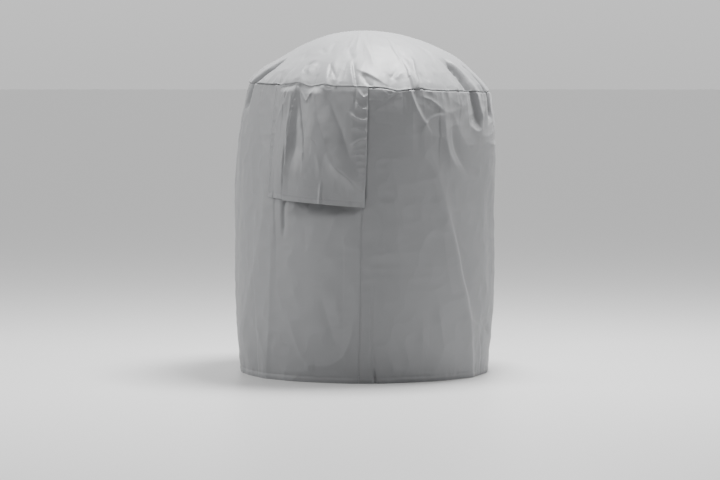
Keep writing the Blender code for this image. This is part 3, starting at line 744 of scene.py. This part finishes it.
def makeVentNet():
    left, right, low, high = spanOf("vent_mesh")
    wide, tall = math.radians(right - left) * cover["waistRadius"], high - low
    across, up = round(wide / vent["hole"]), round(tall / vent["hole"])
    bpy.ops.mesh.primitive_grid_add(x_subdivisions=across, y_subdivisions=up, size=1)
    piece = bpy.context.object
    piece.name = "ventNet"
    spots = np.array([v.co[:2] for v in piece.data.vertices]) + 0.5
    odd = np.round(spots[:, 1] * tall / vent["hole"]) % 2
    share = np.clip(spots[:, 0] + (odd - 0.5) * 0.5 * vent["hole"] / wide, 0, 1)
    places = onSkirt(left + (right - left) * share, low + tall * spots[:, 1], -vent["inset"])
    piece.data.vertices.foreach_set("co", places.astype(np.float32).reshape(-1))
    strands = piece.modifiers.new("strands", "WIREFRAME")
    strands.thickness = vent["strand"]
    strands.use_boundary = True
    bpy.ops.object.modifier_apply(modifier="strands")
    piece.select_set(False)
    return piece


def makeVentBinding():
    left, right, low, high = spanOf("vent_mesh")
    lap = vent["lap"]
    turn = math.degrees(lap / cover["waistRadius"])
    angles = rowsOf((left, left + turn, 0.4), (left + turn, right - turn, 0.6), (right - turn, right, 0.4))
    heights = rowsOf((low, low + lap, 0.0025), (low + lap, high - lap, 0.004), (high - lap, high, 0.0025))
    grid, tall = np.meshgrid(angles, heights)
    window = inWindow(middles(grid), middles(tall))
    points = onSkirt(grid, tall, -vent["bindingInset"])
    flat = flatOf(grid, tall)
    return clothMesh("ventNetBinding", points, flat, vent["bindingThick"], window=window, inside=False)


labelCloth = {"inset": 0.0014, "thick": 0.0003}


def makeLabel():
    left, right, low, high = spanOf("care_label")
    grid, tall = np.meshgrid(np.linspace(left, right, 9), np.array(rowsOf((low, high, 0.004))))
    points = onSkirt(grid, tall, -labelCloth["inset"])
    return clothMesh("careLabel", points, flatOf(grid, tall), labelCloth["thick"], inside=False)


stitch = {
    "long": 0.0027,
    "pitch": 0.0034,
    "wide": 0.00075,
    "high": 0.0006,
    "proud": 0.00012,  # how far a stitch's middle stands off the cloth
    "sway": 0.05,  # each stitch lies a little across the row
    "feel": 0.0008,  # how far ahead and behind the row's direction is taken
}


def makeStitches(name, place, route):
    # place turns two coordinates and an offset into a point, and route is the line of those coordinates
    bpy.ops.mesh.primitive_uv_sphere_add(segments=6, ring_count=5, radius=0.5)
    pattern = bpy.context.object
    pattern.scale = (stitch["wide"], stitch["high"], stitch["long"])
    bpy.ops.object.transform_apply(location=False, rotation=False, scale=True)
    shape = np.array([v.co for v in pattern.data.vertices])
    faces = [list(p.vertices) for p in pattern.data.polygons]
    bpy.data.objects.remove(pattern)
    route = np.array(route, float)
    line = place(route[:, 0], route[:, 1], 0.0)
    run = np.concatenate([[0], np.cumsum(np.linalg.norm(np.diff(line, axis=0), axis=1))])
    count = max(2, int(run[-1] / stitch["pitch"]))
    at = (np.arange(count) + 0.5) * run[-1] / count
    ends = []
    for spot in (at + stitch["feel"], at - stitch["feel"]):
        ends.append(place(np.interp(spot, run, route[:, 0]), np.interp(spot, run, route[:, 1]), 0.0))
    along = ends[0] - ends[1]
    along /= np.linalg.norm(along, axis=1)[:, None]
    u, v = np.interp(at, run, route[:, 0]), np.interp(at, run, route[:, 1])
    middle = place(u, v, stitch["proud"])
    away = place(u, v, 0.001) - place(u, v, 0.0)
    across = np.cross(away, along)
    across /= np.linalg.norm(across, axis=1)[:, None]
    up = np.cross(along, across)
    sway = along + stitch["sway"] * across
    verts, loops = [], []
    for k in range(count):
        body = middle[k] + shape[:, :1] * across[k] + shape[:, 1:2] * up[k]
        verts += (body + shape[:, 2:] * sway[k]).tolist()
        loops += [[c + k * len(shape) for c in f] for f in faces]
    mesh = bpy.data.meshes.new(name)
    mesh.from_pydata(verts, [], loops)
    piece = bpy.data.objects.new(name, mesh)
    bpy.context.scene.collection.objects.link(piece)
    bpy.context.view_layer.objects.active = piece
    piece.select_set(True)
    bpy.ops.object.mode_set(mode="EDIT")
    bpy.ops.mesh.select_all(action="SELECT")
    bpy.ops.mesh.normals_make_consistent(inside=False)
    bpy.ops.object.mode_set(mode="OBJECT")
    bpy.ops.object.shade_smooth()
    piece.select_set(False)
    return piece


def addGroup(name, inputs, outputs):
    group = bpy.data.node_groups.new(name, "ShaderNodeTree")
    for label, kind, value in inputs:
        socket = group.interface.new_socket(name=label, in_out="INPUT", socket_type=kind)
        if value is not None:
            socket.default_value = value
    for label, kind in outputs:
        group.interface.new_socket(name=label, in_out="OUTPUT", socket_type=kind)
    return group, group.nodes.new("NodeGroupInput"), group.nodes.new("NodeGroupOutput")


def math2(tree, operation, a, b=None):
    node = tree.nodes.new("ShaderNodeMath")
    node.operation = operation
    for socket, value in zip(node.inputs, (a, b)):
        if value is None:
            continue
        if isinstance(value, (int, float)):
            socket.default_value = value
        else:
            tree.links.new(value, socket)
    return node.outputs[0]


def noise(tree, vector, scale, detail=2.0, rough=0.5):
    node = tree.nodes.new("ShaderNodeTexNoise")
    node.inputs["Scale"].default_value = scale
    node.inputs["Detail"].default_value = detail
    node.inputs["Roughness"].default_value = rough
    tree.links.new(vector, node.inputs["Vector"])
    return node.outputs["Fac"]


def makeWeaveGroup():
    # plain weave: over-and-under threads as a height, with slubs, and a mask of the gaps between threads,
    # where painted shade goes into the colour
    inputs = [("Vector", "NodeSocketVector", None), ("Threads", "NodeSocketFloat", 1200.0),
              ("Slub", "NodeSocketFloat", 0.3)]
    outputs = [("Height", "NodeSocketFloat"), ("Gaps", "NodeSocketFloat")]
    group, into, out = addGroup("plainWeave", inputs, outputs)
    split = group.nodes.new("ShaderNodeSeparateXYZ")
    group.links.new(into.outputs["Vector"], split.inputs[0])
    slub = noise(group, into.outputs["Vector"], 90.0, 3.0)
    turns = []
    for axis in ("X", "Y"):
        pushed = math2(group, "MULTIPLY", split.outputs[axis], into.outputs["Threads"])
        turns.append(math2(group, "MULTIPLY", pushed, math.pi))
    waveX, waveY = [math2(group, "SINE", t) for t in turns]
    over = math2(group, "MULTIPLY", waveX, waveY)
    ribX = math2(group, "ABSOLUTE", waveX)
    ribY = math2(group, "ABSOLUTE", waveY)
    ribs = math2(group, "MINIMUM", ribX, ribY)
    height = math2(group, "ADD", math2(group, "MULTIPLY", over, 0.5), ribs)
    rough = math2(group, "MULTIPLY", slub, into.outputs["Slub"])
    group.links.new(math2(group, "ADD", height, rough), out.inputs["Height"])
    group.links.new(math2(group, "LESS_THAN", ribs, 0.12), out.inputs["Gaps"])
    return group


def makeShadeGroup():
    # slow changes of shade and faint handling marks, as a factor to multiply a colour by
    inputs = [("Vector", "NodeSocketVector", None), ("Amount", "NodeSocketFloat", 0.06)]
    outputs = [("Shade", "NodeSocketFloat"), ("Marks", "NodeSocketFloat")]
    group, into, out = addGroup("clothShade", inputs, outputs)
    slow = noise(group, into.outputs["Vector"], 5.0, 4.0, 0.6)
    fine = noise(group, into.outputs["Vector"], 60.0, 3.0, 0.6)
    mixed = math2(group, "ADD", math2(group, "MULTIPLY", slow, 0.7), math2(group, "MULTIPLY", fine, 0.3))
    centred = math2(group, "MULTIPLY", math2(group, "SUBTRACT", mixed, 0.5), into.outputs["Amount"])
    group.links.new(math2(group, "ADD", centred, 1.0), out.inputs["Shade"])
    group.links.new(fine, out.inputs["Marks"])
    return group


weaveGroup = makeWeaveGroup()
shadeGroup = makeShadeGroup()
clothLook = {
    "gapShadeTint": (0.86, 0.86, 0.87, 1),  # painted shade in the gaps between threads
    "gapShadeShare": 0.5,
    "roughSpread": 0.16,
    "threadHeight": 0.0002,
    "creaseHeight": 0.0012,
}


def makeCloth(name, colour, rough, threads, bump, shade, sheen=0.0, coat=0.0, uv=True, crinkle=0.0):
    material = bpy.data.materials.new(name)
    material.use_nodes = True
    tree = material.node_tree
    shader = tree.nodes["Principled BSDF"]
    place = tree.nodes.new("ShaderNodeTexCoord")
    flat, solid = place.outputs["UV" if uv else "Object"], place.outputs["Object"]
    weave = tree.nodes.new("ShaderNodeGroup")
    weave.node_tree = weaveGroup
    weave.inputs["Threads"].default_value = threads
    tree.links.new(flat, weave.inputs["Vector"])
    tint = tree.nodes.new("ShaderNodeGroup")
    tint.node_tree = shadeGroup
    tint.inputs["Amount"].default_value = shade
    tree.links.new(solid, tint.inputs["Vector"])
    mix = tree.nodes.new("ShaderNodeVectorMath")
    mix.operation = "SCALE"
    mix.inputs[0].default_value = colour
    tree.links.new(tint.outputs["Shade"], mix.inputs["Scale"])
    # painted shade: the base colour is darkened in the gaps between threads, standing in for the shade that
    # falls in them
    gaps = tree.nodes.new("ShaderNodeMix")
    gaps.data_type = "RGBA"
    gaps.blend_type = "MULTIPLY"
    gaps.inputs["B"].default_value = clothLook["gapShadeTint"]
    gapShade = math2(tree, "MULTIPLY", weave.outputs["Gaps"], clothLook["gapShadeShare"])
    tree.links.new(gapShade, gaps.inputs["Factor"])
    tree.links.new(mix.outputs[0], gaps.inputs["A"])
    tree.links.new(gaps.outputs["Result"], shader.inputs["Base Color"])
    centred = math2(tree, "SUBTRACT", tint.outputs["Marks"], 0.5)
    spread = math2(tree, "MULTIPLY", centred, clothLook["roughSpread"])
    tree.links.new(math2(tree, "ADD", spread, rough), shader.inputs["Roughness"])
    threadBump = tree.nodes.new("ShaderNodeBump")
    threadBump.inputs["Strength"].default_value = bump
    threadBump.inputs["Distance"].default_value = clothLook["threadHeight"]
    tree.links.new(weave.outputs["Height"], threadBump.inputs["Height"])
    normal = threadBump.outputs[0]
    if crinkle:
        creases = tree.nodes.new("ShaderNodeBump")
        creases.inputs["Strength"].default_value = crinkle
        creases.inputs["Distance"].default_value = clothLook["creaseHeight"]
        tree.links.new(noise(tree, solid, 38.0, 5.0, 0.55), creases.inputs["Height"])
        tree.links.new(normal, creases.inputs["Normal"])
        normal = creases.outputs[0]
    tree.links.new(normal, shader.inputs["Normal"])
    shader.inputs["Sheen Weight"].default_value = sheen
    shader.inputs["Sheen Roughness"].default_value = 0.45
    shader.inputs["Coat Weight"].default_value = coat
    shader.inputs["Coat Roughness"].default_value = 0.55
    shader.inputs["IOR"].default_value = 1.46
    return material


finishes = {
    "cloth": makeCloth("coatedCloth", (0.2, 0.203, 0.208), 0.52, 1100.0, 0.22, 0.10,
                       sheen=0.12, coat=0.08, crinkle=0.42),
    "inside": makeCloth("coatedInside", (0.18, 0.183, 0.187), 0.42, 1100.0, 0.10, 0.08,
                        sheen=0.0, coat=0.25, crinkle=0.2),
    "tape": makeCloth("seamTape", (0.22, 0.225, 0.23), 0.5, 1500.0, 0.3, 0.10, sheen=0.1),
    "thread": makeCloth("sewingThread", (0.20, 0.205, 0.21), 0.6, 2600.0, 0.6, 0.20, sheen=0.2, uv=False),
    "mesh": makeCloth("netCord", (0.03, 0.03, 0.032), 0.55, 3000.0, 0.5, 0.25, sheen=0.1, uv=False),
    "label": makeCloth("labelRibbon", (0.78, 0.78, 0.76), 0.4, 2200.0, 0.3, 0.05, sheen=0.2),
}


def dress(piece, slot, nodes, body="cover"):
    piece.data.materials.clear()
    piece.data.materials.append(finishes[slot])
    if slot == "cloth":
        piece.data.materials.append(finishes["inside"])
    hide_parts(*nodes)
    if body == "cover":
        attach(piece, "cover")
    return piece


crown = dress(makeCrown(), "cloth", ["crown_panel"])
print("crown made")

for side in ("left", "right"):
    panel = makeSkirtPanel(f"skirt{side.title()}Panel", side)
    dress(panel, "cloth", [f"skirt_{side}_panel", f"hem_facing_{side}"])
print("skirt made")

hood = dress(makeHood(), "cloth", ["vent_hood_panel", "vent_hood_hem"], body=None)

for side in ("front", "back"):
    dress(makeSeamTape(f"{side}SeamTape", side), "tape", [f"{side}_seam_tape"])
dress(makeCrownBinding(), "tape", ["crown_seam_binding"])
dress(makeVentNet(), "mesh", ["vent_mesh"])
dress(makeVentBinding(), "tape", ["vent_mesh_binding"])
dress(makeLabel(), "label", ["care_label"])
print("hood, tapes and net made")

ring = np.linspace(cover["backSeam"] - 360, cover["backSeam"], 1400)
hemRoute = [(a, skirtCloth["hemStitch"]) for a in ring]
dress(makeStitches("bottomHemStitches", onSkirt, hemRoute), "thread", ["bottom_hem_thread"])
climb = np.linspace(tapes["bottom"] + 0.003, tapes["top"] - 0.004, 260)  # up a seam, inside the tape's ends
frontRoute = [(frontSeamAt(h), h) for h in climb]
backRoute = [(cover["backSeam"], h) for h in climb]


def insideSkirt(angle, height, out):
    return onSkirt(angle, height, -tapes["stitchInset"] - out)


def insideCrownSeam(angle, height, out):
    top, radius = seamEdge(angle)
    inward, rise = binding["stitch"]
    return toPoint(angle, radius - inward, top + rise - out)


dress(makeStitches("frontSeamStitches", insideSkirt, frontRoute), "thread", ["front_seam_thread"])
dress(makeStitches("backSeamStitches", insideSkirt, backRoute), "thread", ["back_seam_thread"])
crownRoute = [(a, 0) for a in ring]
dress(makeStitches("crownSeamStitches", insideCrownSeam, crownRoute), "thread", ["crown_seam_thread"])
left, right, low, high = spanOf("vent_binding_thread")
around = [(a, low) for a in np.linspace(left, right, 60)]
around += [(right, h) for h in np.linspace(low, high, 50)]
around += [(a, high) for a in np.linspace(right, left, 60)]
around += [(left, h) for h in np.linspace(high, low, 50)]
dress(makeStitches("ventBindingStitches", onSkirt, around), "thread", ["vent_binding_thread"])

hemRow = 1 - hoodCloth["hemStitch"] / hoodCloth["drop"][0]
first, second = [row / hoodCloth["width"] for row in hoodCloth["topstitch"]]
rightRow = 1 - hoodCloth["seamStitch"] / hoodCloth["width"]
downRow = np.linspace(0.01, hemRow, 120)
leftRoute = [(first, d) for d in downRow] + [(second, d) for d in downRow[::-1]]
rightRoute = [(rightRow, d) for d in np.linspace(0.01, hemRow - 0.005, 120)]
hoodRows = {
    "hoodLeftStitches": (leftRoute, "hood_left_thread"),
    "hoodRightStitches": (rightRoute, "hood_right_thread"),
    "hoodHemStitches": ([(a, hemRow) for a in np.linspace(0.04, 0.995, 160)], "hood_hem_thread"),
}
hoodPieces = [hood]
for name, (route, node) in hoodRows.items():
    hoodPieces.append(dress(makeStitches(name, onHood, route), "thread", [node], body=None))
for piece in hoodPieces:
    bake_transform(piece)
print("stitches made")

bpy.ops.mesh.primitive_plane_add(size=300, location=(0, 0, 0))
floor = bpy.context.object
floor.name = "floor"
floor.select_set(False)
paint = bpy.data.materials.new("paleFloor")
paint.use_nodes = True
paint.node_tree.nodes["Principled BSDF"].inputs["Base Color"].default_value = (0.58, 0.58, 0.58, 1)
paint.node_tree.nodes["Principled BSDF"].inputs["Roughness"].default_value = 0.4
floor.data.materials.append(paint)

studio = {
    "front": 0.13,  # the room behind the camera is dim
    "back": 1.5,  # and the backdrop is bright
    "turnSpan": (-0.2, 1.0),  # between these the one fades into the other
    "ground": 0.5,  # it is dimmer towards the floor
    "sky": 1.3,
    "skyFrom": 0.5,
    "lights": [  # name, direction round the cover, rise in degrees, distance, power, size
        ("topSoft", 112, 80, 1.9, 142, 0.6),
        ("frontTop", -10, 48, 3.6, 42, 0.8),
        ("leftKey", -82, 22, 3.8, 96, 1.2),
        ("rightKey", 88, 20, 3.8, 66, 1.2),
    ],
}
world = bpy.data.worlds.new("studio")
world.use_nodes = True
tree = world.node_tree
facing = tree.nodes.new("ShaderNodeTexCoord")
parts = tree.nodes.new("ShaderNodeSeparateXYZ")
fade = tree.nodes.new("ShaderNodeMapRange")
fade.interpolation_type = "SMOOTHSTEP"
fade.inputs["From Min"].default_value, fade.inputs["From Max"].default_value = studio["turnSpan"]
fade.inputs["To Min"].default_value = studio["front"]
fade.inputs["To Max"].default_value = studio["back"]
tree.links.new(facing.outputs["Generated"], parts.inputs[0])
tree.links.new(parts.outputs["Y"], fade.inputs["Value"])
rise = tree.nodes.new("ShaderNodeMapRange")
rise.inputs["From Max"].default_value = studio["skyFrom"]
rise.inputs["To Min"].default_value = studio["ground"]
rise.inputs["To Max"].default_value = studio["sky"]
tree.links.new(parts.outputs["Z"], rise.inputs["Value"])
glow = math2(tree, "MULTIPLY", fade.outputs["Result"], rise.outputs["Result"])
tree.links.new(glow, tree.nodes["Background"].inputs["Strength"])
tree.nodes["Background"].inputs["Color"].default_value = (1, 1, 1, 1)
bpy.context.scene.world = world

aim = Vector((0, 0, 0.5))
for name, turn, rise, away, power, size in studio["lights"]:
    light = bpy.data.lights.new(name, "AREA")
    light.energy = power
    lamp = bpy.data.objects.new(name, light)
    bpy.context.scene.collection.objects.link(lamp)
    turn, rise = math.radians(turn), math.radians(rise)
    flat = away * math.cos(rise)
    lamp.location = aim + Vector((flat * math.sin(turn), -flat * math.cos(turn), away * math.sin(rise)))
    lamp.rotation_euler = (aim - lamp.location).to_track_quat("-Z", "Y").to_euler()
    light.size = size

eye = {"back": 7.1, "high": 0.78, "shift": -0.0106, "down": 3.5, "lens": 134.0}
camera = bpy.data.cameras.new("camera")
camera.lens = eye["lens"]
camera.sensor_width = 36
cameraObject = bpy.data.objects.new("camera", camera)
bpy.context.scene.collection.objects.link(cameraObject)
cameraObject.location = (eye["shift"], -eye["back"], eye["high"])
cameraObject.rotation_euler = (math.radians(90 - eye["down"]), 0, 0)
bpy.context.scene.camera = cameraObject
print("studio made")
